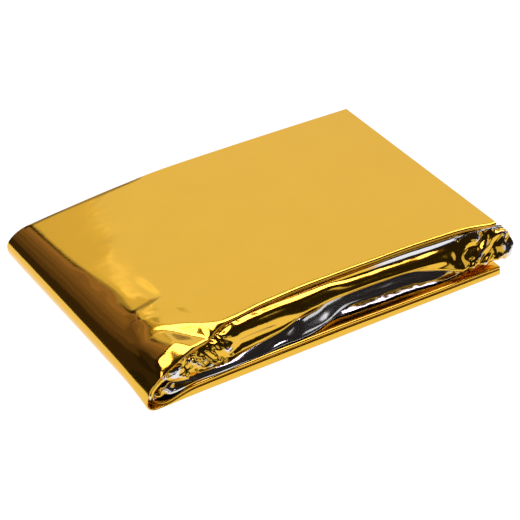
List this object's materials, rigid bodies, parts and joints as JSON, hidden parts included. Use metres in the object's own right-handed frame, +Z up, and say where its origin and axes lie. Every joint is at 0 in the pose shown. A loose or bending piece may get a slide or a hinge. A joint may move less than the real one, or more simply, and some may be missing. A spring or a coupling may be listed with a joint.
{
  "type": "emergency foil blanket",
  "caption": "Folded emergency blanket: thin metallised film, gold outside and silver inside, pleated flat and doubled over into a flat packet.",
  "frame": {"origin": "centre of the packet's bounding box, on the surface it rests on", "axes": "+X along the packet from the closed end to the open end, +Y across it away from the side where the pleats show, +Z up through the layers"},
  "size_m": [0.1344, 0.09, 0.017],
  "materials": {
    "film": "mirror-bright gold metallised film, silver on the inner face"
  },
  "bodies": {
    "root": {"foil_blanket": "film"}
  },
  "joints": []
}
